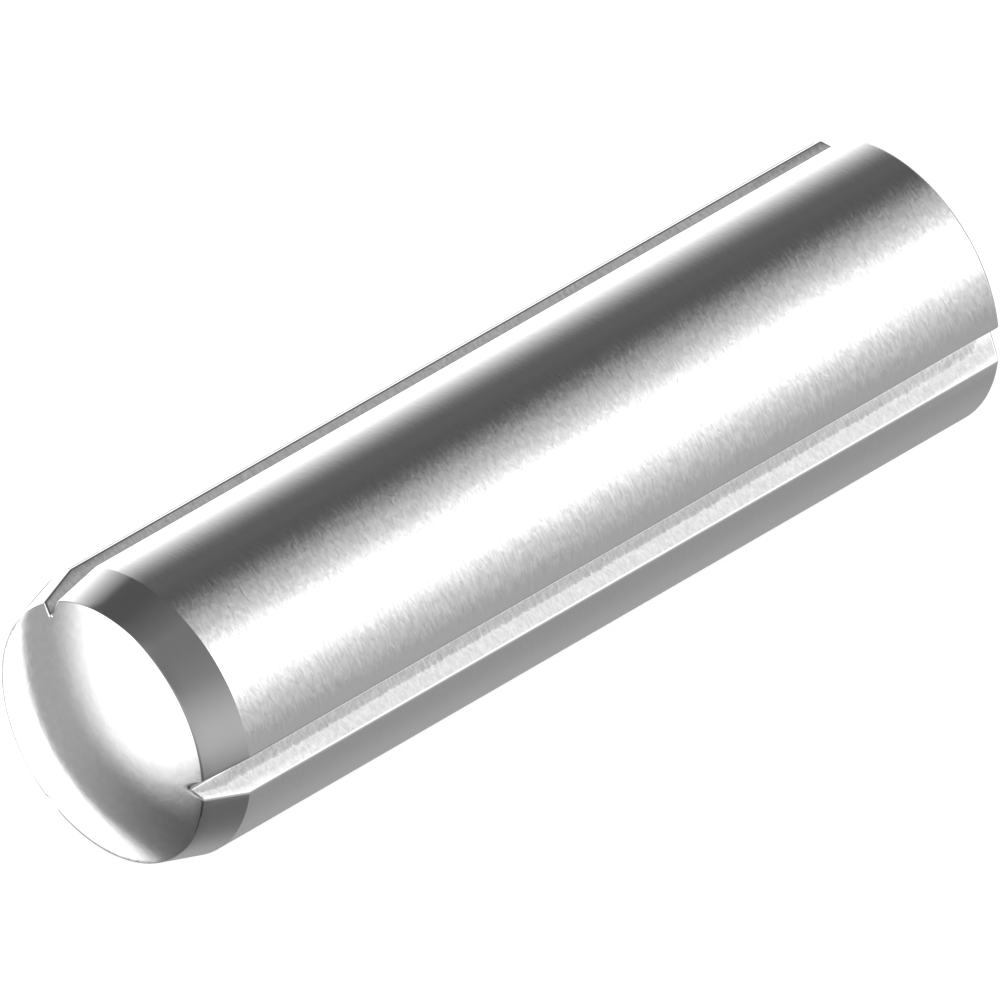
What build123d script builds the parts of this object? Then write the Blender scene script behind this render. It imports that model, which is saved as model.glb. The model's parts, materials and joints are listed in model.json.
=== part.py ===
from build123d import *
import math
import os

os.makedirs("parts", exist_ok=True)

# Driving sizes, in millimetres and degrees.
# The pin lies along X, with its chamfered lead end at -X.
pin_diameter = 8.0
pin_length = 30.0
crown_radius = 8.0
chamfer_length = 1.3
chamfer_angle = 16.0
groove_count = 3
groove_width = 1.04
groove_angle = 70.0
groove_root_radius = 0.1
edge_round = 0.1

# The first groove faces down, and the pin rests on its two lips.
first_groove_direction = -90.0

pin_radius = pin_diameter / 2
pin_axis = Edge.make_line((-pin_length / 2, 0, 0), (pin_length / 2, 0, 0))
lead_rim_radius = pin_radius - chamfer_length * math.tan(math.radians(chamfer_angle))


def crown_half_angle(rim_radius):
    """Angle at the crown's centre between the pin's axis and the rim."""
    return math.degrees(math.asin(rim_radius / crown_radius))


def distance_from_axis(edge):
    """Least distance between an edge and the pin's axis."""
    return edge.distance_to(pin_axis)


# A V groove's walls would meet at this distance from the axis, below its round root.
half_groove_width = groove_width / 2
wall_slope = math.tan(math.radians(groove_angle / 2))
groove_apex_radius = math.sqrt(pin_radius**2 - half_groove_width**2) - half_groove_width / wall_slope

# Turned blank: crowned lead end, chamfer, straight shank and crowned rear end.
with BuildPart() as grooved_pin:
    with BuildSketch(Plane.XZ):
        with BuildLine():
            lead_crown = CenterArc(
                (crown_radius - pin_length / 2, 0), crown_radius, 180, crown_half_angle(lead_rim_radius)
            )
            chamfer_end = lead_crown @ 1 + Vector(chamfer_length, lead_rim_radius - pin_radius)
            chamfer_line = Line(lead_crown @ 1, chamfer_end)
            rear_half_angle = crown_half_angle(pin_radius)
            rear_crown = CenterArc(
                (pin_length / 2 - crown_radius, 0), crown_radius, -rear_half_angle, rear_half_angle
            )
            Line(chamfer_line @ 1, rear_crown @ 0)
            Line(rear_crown @ 1, lead_crown @ 0)
        make_face()
    revolve(axis=Axis.X)

    # V grooves with a round root, from end to end.
    with BuildSketch(Plane.YZ):
        with PolarLocations(groove_apex_radius, groove_count, first_groove_direction):
            Polygon(
                (0, 0),
                (pin_radius, pin_radius * wall_slope),
                (pin_radius, -pin_radius * wall_slope),
                align=None,
            )
        roots = vertices().group_by(SortBy.DISTANCE)[0]
        fillet(roots, groove_root_radius)
    extrude(amount=pin_length, both=True, mode=Mode.SUBTRACT)

    # Tumbled finish: a light round on every edge that isn't smooth already.
    crown_seams = edges().group_by(distance_from_axis)[0]
    root_lines = edges().filter_by(GeomType.LINE).group_by(distance_from_axis)[0]
    fillet(edges() - crown_seams - root_lines, edge_round)

grooved_pin.part.label = "grooved_pin"
export_step(grooved_pin.part, "parts/grooved_pin.step")
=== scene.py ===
import json
from math import atan2, cos, pi, radians, sin, sqrt, tan

import bmesh
import bpy
from mathutils import Euler, Matrix, Vector


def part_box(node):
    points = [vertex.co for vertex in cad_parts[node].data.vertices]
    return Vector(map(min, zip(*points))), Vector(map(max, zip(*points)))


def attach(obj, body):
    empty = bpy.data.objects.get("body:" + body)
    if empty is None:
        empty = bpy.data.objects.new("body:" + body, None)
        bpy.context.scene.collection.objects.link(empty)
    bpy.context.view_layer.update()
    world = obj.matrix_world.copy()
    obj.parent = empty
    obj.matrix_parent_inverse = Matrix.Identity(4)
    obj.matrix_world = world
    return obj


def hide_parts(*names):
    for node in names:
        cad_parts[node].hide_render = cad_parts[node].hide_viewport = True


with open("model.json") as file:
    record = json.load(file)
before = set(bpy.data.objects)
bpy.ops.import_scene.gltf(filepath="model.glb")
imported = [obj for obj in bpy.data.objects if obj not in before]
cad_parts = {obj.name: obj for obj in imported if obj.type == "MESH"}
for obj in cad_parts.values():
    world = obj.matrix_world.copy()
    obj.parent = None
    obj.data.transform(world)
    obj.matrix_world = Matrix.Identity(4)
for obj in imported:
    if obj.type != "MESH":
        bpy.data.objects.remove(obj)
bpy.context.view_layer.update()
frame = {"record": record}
bpy.ops.object.select_all(action="DESELECT")

# Camera
# A very long lens from far away, so that the pin's sides stay parallel. It looks down on the
# lead end, and is rolled so that the pin runs up to the right across the picture.
mm = 0.001
camera_lens = 1700
camera_distance = 1195 * mm
camera_turn = radians(-69.465)
camera_tilt = radians(37.972)
camera_roll = radians(34.723)
camera_aim = (-0.016 * mm, 0.091 * mm)

camera_frame = Euler((camera_tilt, 0, camera_turn)).to_matrix() @ Matrix.Rotation(camera_roll, 3, "Z")
bpy.ops.object.camera_add(
    location=camera_frame @ Vector((*camera_aim, camera_distance)),
    rotation=camera_frame.to_euler(),
)
camera = bpy.context.object
camera.data.lens = camera_lens
camera.data.clip_start = camera_distance / 10
camera.data.clip_end = camera_distance * 10
bpy.context.scene.camera = camera
bpy.context.scene.view_settings.view_transform = "Standard"

# Grooved pin, shape
# The whole object is one solid: a turned pin with crowned ends and one chamfer, and three V
# grooves along it. The solid's form is modelled again here with finer rounds and edges.
crown_radius = 8 * mm
chamfer_length = 1.3 * mm
chamfer_angle = radians(16)
groove_count = 3
groove_width = 1.04 * mm
groove_angle = radians(70)
groove_root_radius = 0.1 * mm
edge_round = 0.1 * mm

root_steps = 4
wall_steps = 3
arc_steps = 18
chamfer_steps = 4
shank_steps = 8
lip_margin = 0.15 * mm
rim_margin = 0.2 * mm
first_circle = 0.3 * mm
circle_gap = 0.4 * mm
circle_count = 7
ring_start = 0.01
least_turn_rounded = radians(30)
round_steps = 6
least_crease = radians(13.5)

crown_circles = [first_circle + circle_gap * step for step in range(circle_count)]
pin_low, pin_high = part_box("grooved_pin")
pin_end = pin_high.x
pin_radius = frame["record"]["mounts"][0]["dims"]["r_mm"] * mm
lead_rim_radius = pin_radius - chamfer_length * tan(chamfer_angle)
wall_slope = tan(groove_angle / 2)
groove_apex = sqrt(pin_radius**2 - (groove_width / 2) ** 2) - groove_width / 2 / wall_slope
root_centre = groove_apex + groove_root_radius / sin(groove_angle / 2)


def shares(steps):
    """Fractions from 0 to 1 in equal steps."""
    return [step / steps for step in range(steps + 1)]


def outline(radius):
    """Points round the pin's grooved section, cut down to a radius, with the first groove along X."""
    reach = sqrt(radius**2 * (1 + wall_slope**2) - (groove_apex * wall_slope) ** 2) - groove_apex
    reach /= 1 + wall_slope**2
    lip = Vector((groove_apex + reach, reach * wall_slope))
    half_root = (pi - groove_angle) / 2
    half = []
    for share in shares(root_steps):
        turn = half_root * share
        half.append(Vector((root_centre, 0)) + groove_root_radius * Vector((-cos(turn), sin(turn))))
    root_edge = half[-1]
    half += [root_edge.lerp(lip, share) for share in shares(wall_steps)[1:]]
    arc_start = atan2(lip.y, lip.x) + lip_margin / radius
    arc_end = pi / groove_count
    for share in shares(arc_steps):
        turn = arc_start + (arc_end - arc_start) * share
        half.append(radius * Vector((cos(turn), sin(turn))))
    other_half = [Vector((point.x, -point.y)) for point in half[1:-1]]
    points = []
    for groove in range(groove_count):
        turn = Matrix.Rotation(2 * pi / groove_count * groove, 2)
        points += [turn @ point for point in half + other_half]
    return points


def on_section(x, point):
    """Place of a point of a section that lies at x; its first groove faces down."""
    return Vector((x, point.y, -point.x))


def on_crown(end, point):
    """Place of a section's point on the crown of an end: -1 for the lead end, 1 for the rear."""
    crown_height = sqrt(crown_radius**2 - point.length_squared) - crown_radius
    return on_section(end * (pin_end + crown_height), point)


def crown_rings(end, rim):
    """Rings of places on an end's crown, from near its middle out to the outline of its rim."""
    near_rim = [point * (1 - rim_margin / point.length) for point in rim]
    circles = [[point.normalized() * radius for point in rim] for radius in crown_circles]
    halfway = [outer.lerp(inner, 0.5) for outer, inner in zip(near_rim, circles[-1])]
    return [[on_crown(end, point) for point in ring] for ring in (*circles, halfway, near_rim, rim)]


def order_round_pin(place):
    """Angle round the pin, counted from a direction in which no point lies."""
    return (atan2(place.y, place.z) + ring_start) % (2 * pi)


def place_selected(places):
    """Puts the selected ring of points at a ring of places."""
    shape = bmesh.from_edit_mesh(pin.data)
    ring = [point for point in shape.verts if point.select]
    ring.sort(key=lambda point: order_round_pin(point.co))
    for point, place in zip(ring, sorted(places, key=order_round_pin)):
        point.co = place
    bmesh.update_edit_mesh(pin.data)


lead_rim_x = on_crown(-1, Vector((lead_rim_radius, 0))).x
shank_start = lead_rim_x + chamfer_length
shank_end = on_crown(1, Vector((pin_radius, 0))).x
rings = crown_rings(-1, outline(lead_rim_radius))
for share in shares(chamfer_steps)[1:]:
    radius = lead_rim_radius + (pin_radius - lead_rim_radius) * share
    rings.append([on_section(lead_rim_x + chamfer_length * share, point) for point in outline(radius)])
for share in shares(shank_steps)[1:-1]:
    x = shank_start + (shank_end - shank_start) * share
    rings.append([on_section(x, point) for point in outline(pin_radius)])
rings += reversed(crown_rings(1, outline(pin_radius)))
tip_height = pin_end - rings[-1][0].x

bpy.ops.mesh.primitive_circle_add(
    vertices=len(rings[0]), radius=crown_circles[0], rotation=(0, pi / 2, 0)
)
pin = bpy.context.object
pin.name = "finished_pin"
bpy.ops.object.transform_apply(location=False, rotation=True, scale=False)
bpy.ops.object.mode_set(mode="EDIT")
place_selected(rings[0])
for ring in rings[1:]:
    bpy.ops.mesh.extrude_region_move()
    place_selected(ring)
for end in (1, -1):
    bpy.ops.mesh.extrude_region_move()
    bpy.ops.mesh.merge(type="CENTER")
    bpy.ops.transform.translate(value=(end * tip_height, 0, 0))
    bpy.ops.mesh.select_non_manifold(extend=False)
bpy.ops.mesh.select_all(action="SELECT")
bpy.ops.mesh.normals_make_consistent(inside=False)
bpy.ops.object.mode_set(mode="OBJECT")

shape = bmesh.new()
shape.from_mesh(pin.data)
weight = shape.edges.layers.float.new("bevel_weight_edge")
for edge in shape.edges:
    turn = edge.calc_face_angle()
    if turn > least_turn_rounded:
        edge[weight] = tan(turn / 2)
shape.to_mesh(pin.data)
shape.free()
rounds = pin.modifiers.new("Tumbled edges", "BEVEL")
rounds.width = edge_round
rounds.segments = round_steps
rounds.limit_method = "WEIGHT"
rounds.use_clamp_overlap = False
rounds.face_strength_mode = "FSTR_AFFECTED"
bpy.ops.object.modifier_apply(modifier=rounds.name)
bpy.ops.object.shade_smooth_by_angle(angle=least_crease)
even_shading = pin.modifiers.new("Even shading", "WEIGHTED_NORMAL")
even_shading.use_face_influence = True
even_shading.keep_sharp = True
bpy.ops.object.modifier_apply(modifier=even_shading.name)

# Grooved pin, finish
# Bright stainless steel. Grinding and tumbling leave short, curling streaks that run round the
# pin and down into its grooves. The turned chamfer is smooth, and the crowned ends nearly so.
steel_grey = 0.85
steel_edge_tint = 0.89
steel_roughness = 0.12
steel_roughness_change = 0.03
streak_width = 0.1 * mm
streak_length = 0.27 * mm
streak_depth = 0.007 * mm
streak_grey_change = 0.2
streak_curl = 0.5
streak_detail = 1
streak_fineness = 0.4
end_streaks = 0.24
groove_streaks = 0.75
faint_streaks = 0.15
top_lean = radians(15)
top_edge = 3.44 * mm
top_blend = 0.17 * mm
groove_blend = 0.04 * mm
edge_blend = 0.1 * mm
crown_blend = 0.4 * mm


def add_node(tree, kind, **inputs):
    """A new node, with numbers set and other nodes' outputs linked to its named inputs."""
    node = tree.nodes.new(kind)
    for name, value in inputs.items():
        socket = node.inputs[name.replace("_", " ")]
        if isinstance(value, bpy.types.NodeSocket):
            tree.links.new(value, socket)
        else:
            socket.default_value = value
    return node


def combine(tree, operation, first, second=0.0):
    """Result of a Math node on two values."""
    node = tree.nodes.new("ShaderNodeMath")
    node.operation = operation
    for socket, value in zip(node.inputs, (first, second)):
        if isinstance(value, bpy.types.NodeSocket):
            tree.links.new(value, socket)
        else:
            socket.default_value = value
    return node.outputs[0]


def smooth_step(tree, value, start, end):
    """0 before start, 1 past end, and a smooth ramp between them."""
    node = add_node(tree, "ShaderNodeMapRange", Value=value, From_Min=start, From_Max=end)
    node.interpolation_type = "SMOOTHSTEP"
    return node.outputs["Result"]


steel = bpy.data.materials.new("bright_stainless_steel")
steel.use_nodes = True
tree = steel.node_tree
shader = tree.nodes["Principled BSDF"]
shader.inputs["Metallic"].default_value = 1
shader.inputs["Specular Tint"].default_value = (steel_edge_tint, steel_edge_tint, steel_edge_tint, 1)
place = add_node(tree, "ShaderNodeTexCoord").outputs["Object"]
stretched = add_node(
    tree,
    "ShaderNodeMapping",
    Vector=place,
    Scale=(1 / streak_width, 1 / streak_length, 1 / streak_length),
).outputs["Vector"]
streaks = add_node(
    tree,
    "ShaderNodeTexNoise",
    Vector=stretched,
    Scale=1,
    Detail=streak_detail,
    Roughness=streak_fineness,
    Distortion=streak_curl,
).outputs["Fac"]
parts = add_node(tree, "ShaderNodeSeparateXYZ", Vector=place).outputs
along_pin = parts["X"]
from_axis = combine(
    tree,
    "SQRT",
    combine(
        tree,
        "ADD",
        combine(tree, "MULTIPLY", parts["Y"], parts["Y"]),
        combine(tree, "MULTIPLY", parts["Z"], parts["Z"]),
    ),
)
into_chamfer = combine(tree, "MAXIMUM", combine(tree, "SUBTRACT", shank_start, along_pin), 0.0)
chamfer_drop = combine(tree, "MULTIPLY", into_chamfer, tan(chamfer_angle))
groove_depth = combine(
    tree, "SUBTRACT", combine(tree, "SUBTRACT", pin_radius, chamfer_drop), from_axis
)
in_groove = smooth_step(tree, groove_depth, groove_blend / 2, groove_blend * 3 / 2)
past_chamfer = smooth_step(tree, along_pin, shank_start - edge_blend / 2, shank_start + edge_blend / 2)
height_on_top = combine(
    tree,
    "SUBTRACT",
    combine(tree, "MULTIPLY", parts["Z"], cos(top_lean)),
    combine(tree, "MULTIPLY", parts["Y"], sin(top_lean)),
)
on_top = smooth_step(tree, height_on_top, top_edge - top_blend, top_edge + top_blend)
on_shank = combine(
    tree,
    "MULTIPLY",
    past_chamfer,
    add_node(
        tree, "ShaderNodeMapRange", Value=on_top, To_Min=faint_streaks, To_Max=1
    ).outputs["Result"],
)
between_ends = combine(
    tree,
    "MULTIPLY",
    smooth_step(tree, along_pin, lead_rim_x - edge_blend, lead_rim_x),
    smooth_step(tree, along_pin, shank_end + edge_blend, shank_end),
)
streak_strength = add_node(
    tree,
    "ShaderNodeMix",
    Factor=between_ends,
    A=combine(
        tree,
        "MULTIPLY",
        smooth_step(tree, from_axis, lead_rim_radius - edge_blend, lead_rim_radius - crown_blend),
        end_streaks,
    ),
    B=combine(tree, "MAXIMUM", combine(tree, "MULTIPLY", in_groove, groove_streaks), on_shank),
).outputs["Result"]
bump = add_node(
    tree, "ShaderNodeBump", Strength=streak_strength, Distance=streak_depth, Height=streaks
)
tree.links.new(bump.outputs["Normal"], shader.inputs["Normal"])
streak_grey = add_node(
    tree,
    "ShaderNodeMapRange",
    Value=streaks,
    To_Min=steel_grey - streak_grey_change,
    To_Max=steel_grey + streak_grey_change,
).outputs["Result"]
grey = add_node(tree, "ShaderNodeMix", Factor=streak_strength, A=steel_grey, B=streak_grey)
tree.links.new(grey.outputs["Result"], shader.inputs["Base Color"])
roughness = add_node(
    tree,
    "ShaderNodeMapRange",
    Value=streaks,
    To_Min=steel_roughness - steel_roughness_change,
    To_Max=steel_roughness + steel_roughness_change,
)
tree.links.new(roughness.outputs["Result"], shader.inputs["Roughness"])

pin.data.materials.append(steel)
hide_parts("grooved_pin")
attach(pin, "root")

# Floor
# A plain white sheet under the pin, which lies on the two lips of its lowest groove. The pin's
# metal doesn't mirror it, and its glow keeps it white for the camera right up to the pin.
floor_size = 2
floor_white = 0.8
floor_glow = 0.68

bpy.ops.mesh.primitive_plane_add(size=floor_size, location=(0, 0, pin_low.z))
floor = bpy.context.object
floor.name = "floor"
floor.visible_glossy = False
paper = bpy.data.materials.new("white_paper")
paper.use_nodes = True
tree = paper.node_tree
shader = tree.nodes["Principled BSDF"]
shader.inputs["Base Color"].default_value = (floor_white, floor_white, floor_white, 1)
shader.inputs["Roughness"].default_value = 1
shader.inputs["Emission Color"].default_value = (1, 1, 1, 1)
seen_by_camera = add_node(tree, "ShaderNodeLightPath").outputs["Is Camera Ray"]
glow = combine(tree, "MULTIPLY", seen_by_camera, floor_glow)
tree.links.new(glow, shader.inputs["Emission Strength"])
floor.data.materials.append(paper)

# Studio light
# A dark room with soft white panels round the pin. A panel's edge has a place, turned to the right
# of the camera or up in the picture, and a width, both in degrees; a third number slants it. The
# rear left panel ends where the crown's rim mirrors it, which draws a thin line along that rim.
studio_turn = 70
room = 0.122
below = 0.04
above = 0.091
above_right = 0.109
wall = 0.425
low_corner = 0.132
dark_gap = 0.162
low_right_panel = 0.51
right_panel_border = 0.657
right_panel = 1.62
rear_left_panel = 2.5
rear_left_strip = 0.6
front_left_panel = 2.08

world = bpy.data.worlds.new("studio")
world.use_nodes = True
bpy.context.scene.world = world
tree = world.node_tree
background = tree.nodes["Background"]
direction = add_node(
    tree,
    "ShaderNodeMapping",
    Vector=add_node(tree, "ShaderNodeTexCoord").outputs["Generated"],
    Rotation=camera_frame.to_euler(),
)
direction.vector_type = "TEXTURE"
turned = add_node(
    tree,
    "ShaderNodeMapping",
    Vector=direction.outputs["Vector"],
    Rotation=(0, radians(studio_turn), 0),
)
parts = add_node(tree, "ShaderNodeSeparateXYZ", Vector=turned.outputs["Vector"])
turn = combine(tree, "ARCTAN2", parts.outputs["X"], parts.outputs["Z"])
turn = combine(tree, "SUBTRACT", turn, radians(studio_turn))
height = combine(tree, "ARCSINE", parts.outputs["Y"])


def soft_edge(value, middle, width):
    """Smooth ramp round an edge given in degrees; a negative width falls instead of rising."""
    return smooth_step(tree, value, radians(middle - width / 2), radians(middle + width / 2))


def add_panel(light, level, left=None, right=None, bottom=None, top=None):
    """Lays a panel of a level over the light; an edge's third number is its shift per degree."""
    cover = 1.0
    for value, other, edge, rises in (
        (turn, height, left, 1),
        (turn, height, right, -1),
        (height, turn, bottom, 1),
        (height, turn, top, -1),
    ):
        if edge:
            middle, width, *shift = edge
            if shift:
                value = combine(tree, "SUBTRACT", value, combine(tree, "MULTIPLY", other, shift[0]))
            cover = combine(tree, "MULTIPLY", cover, soft_edge(value, middle, rises * width))
    mix = tree.nodes.new("ShaderNodeMix")
    mix.inputs["B"].default_value = level
    tree.links.new(cover, mix.inputs["Factor"])
    if isinstance(light, bpy.types.NodeSocket):
        tree.links.new(light, mix.inputs["A"])
    else:
        mix.inputs["A"].default_value = light
    return mix.outputs["Result"]


light = add_panel(room, below, top=(-76, 10))
light = add_panel(light, above_right, left=(72, 20), bottom=(67, 8))
light = add_panel(light, above_right, right=(-233, 34), bottom=(67, 8))
light = add_panel(light, above, left=(-117, 22), right=(-13, 56), bottom=(68, 5))
light = add_panel(light, wall, bottom=(-41, 42), top=(52, 11))
light = add_panel(light, low_corner, right=(-188, 90), top=(-46, 60))
light = add_panel(light, dark_gap, left=(-6, 80), right=(43, 60), bottom=(4, 30), top=(62.5, 7))
light = add_panel(light, low_right_panel, left=(47, 21), right=(81, 6), bottom=(-28, 27), top=(-5, 14))
light = add_panel(
    light, right_panel_border, left=(53, 8), right=(112, 14), bottom=(-10, 16), top=(62, 28)
)
light = add_panel(light, right_panel, left=(54, 22), right=(112, 14), bottom=(7, 26), top=(41, 25))
light = add_panel(
    light,
    rear_left_panel,
    left=(-167.5, 3, -0.42),
    right=(-126.5, 13, 0.29),
    bottom=(-36, 26),
    top=(48, 56),
)
light = add_panel(
    light,
    rear_left_strip,
    left=(-172, 2),
    right=(-128, 8),
    bottom=(25.6, 1, 0.206),
    top=(29.6, 2, 0.206),
)
light = add_panel(
    light, front_left_panel, left=(-87, 39), right=(-25, 20), bottom=(-47.5, 37), top=(45, 20)
)
seen_by_camera = add_node(tree, "ShaderNodeLightPath").outputs["Is Camera Ray"]
shown = tree.nodes.new("ShaderNodeMix")
tree.links.new(seen_by_camera, shown.inputs["Factor"])
tree.links.new(light, shown.inputs["A"])
shown.inputs["B"].default_value = 1
tree.links.new(shown.outputs["Result"], background.inputs["Strength"])
background.inputs["Color"].default_value = (1, 1, 1, 1)
